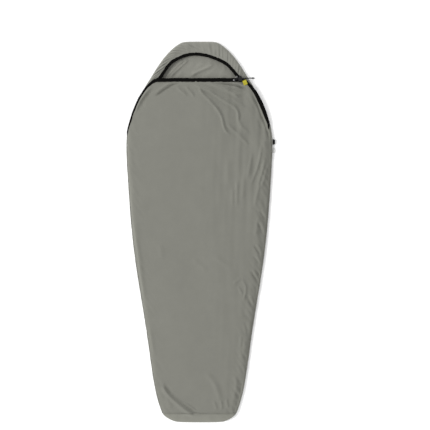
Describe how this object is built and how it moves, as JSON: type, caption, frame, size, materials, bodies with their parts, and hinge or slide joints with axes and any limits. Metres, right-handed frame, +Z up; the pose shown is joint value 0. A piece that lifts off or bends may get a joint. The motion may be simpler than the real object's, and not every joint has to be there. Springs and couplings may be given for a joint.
{
  "type": "mummy sleeping bag",
  "caption": "Thin knit mummy sleeping bag lying flat, with a bound hood and neck, a sprung cord lock on a drawcord, a foot box and a side loop.",
  "frame": {"origin": "on the floor under the bag, on its centre line, halfway between foot and crown", "axes": "+X across the bag, +Y from the foot to the top of the hood, +Z up from the floor"},
  "size_m": [0.8206, 2.1, 0.042],
  "materials": {
    "knit_fabric": "matte",
    "foot_fabric": "matte",
    "seam_thread": "matte",
    "binding": "matte",
    "drawcord": "matte",
    "cord_tip": "satin",
    "eyelet_metal": "satin",
    "lock_plastic": "satin",
    "lock_button": "satin",
    "spring_steel": "satin",
    "lime_webbing": "matte",
    "black_webbing": "matte",
    "label_cloth": "matte"
  },
  "bodies": {
    "bag": {"back_panel": "knit_fabric", "front_panel": "knit_fabric", "foot_box": "foot_fabric", "foot_seam": "seam_thread", "side_seam_left": "seam_thread", "side_seam_right": "seam_thread", "rear_binding_left": "binding", "rear_binding_right": "binding", "hood_skirt_left": "knit_fabric", "hood_skirt_right": "knit_fabric", "hood_eyelet": "eyelet_metal", "hood_cord_lead": "drawcord"},
    "hood": {"hood_back": "knit_fabric", "hood_crown": "knit_fabric", "hood_binding": "binding", "hood_drawcord": "drawcord"},
    "front_flap": {"front_yoke": "knit_fabric", "neck_binding": "binding", "shoulder_binding_left": "binding", "shoulder_binding_right": "binding", "neck_drawcord": "drawcord", "neck_eyelet": "eyelet_metal", "neck_cord_lead": "drawcord", "cord_lock_body": "lock_plastic", "cord_lock_spring": "spring_steel", "lock_anchor_tab": "lime_webbing"},
    "lock_plunger": {"cord_lock_plunger": "lock_button"},
    "cord_tail": {"tail_cord_neck": "drawcord", "tail_cord_hood": "drawcord", "cord_end_tip": "cord_tip"},
    "side_loop": {"side_loop": "black_webbing"},
    "care_label": {"care_label": "label_cloth"}
  },
  "joints": [
    {"name": "hood_lift", "type": "hinge", "parent": "bag", "child": "hood", "pos_m": [0, 0.865, 0.026], "axis": [1, 0, 0], "range_deg": [0, 60]},
    {"name": "front_lift", "type": "hinge", "parent": "bag", "child": "front_flap", "pos_m": [0, 0.591, 0.041], "axis": [1, 0, 0], "range_deg": [0, 25], "deforming": ["hood_cord_lead"]},
    {"name": "plunger_press", "type": "slide", "parent": "front_flap", "child": "lock_plunger", "axis": [0, -1, 0], "range_m": [0, 0.004], "stiffness_N_per_m": 400, "springref_m": -0.002, "deforming": ["cord_lock_spring"]},
    {"name": "tail_pull", "type": "slide", "parent": "front_flap", "child": "cord_tail", "axis": [1, 0, 0], "range_m": [0, 0.06]},
    {"name": "loop_flip", "type": "hinge", "parent": "bag", "child": "side_loop", "pos_m": [0.4043, 0.4975, 0.009], "axis": [0, -1, 0], "range_deg": [0, 90]},
    {"name": "label_flip", "type": "hinge", "parent": "bag", "child": "care_label", "pos_m": [0.4043, 0.4505, 0.009], "axis": [0, -1, 0], "range_deg": [0, 90]}
  ]
}
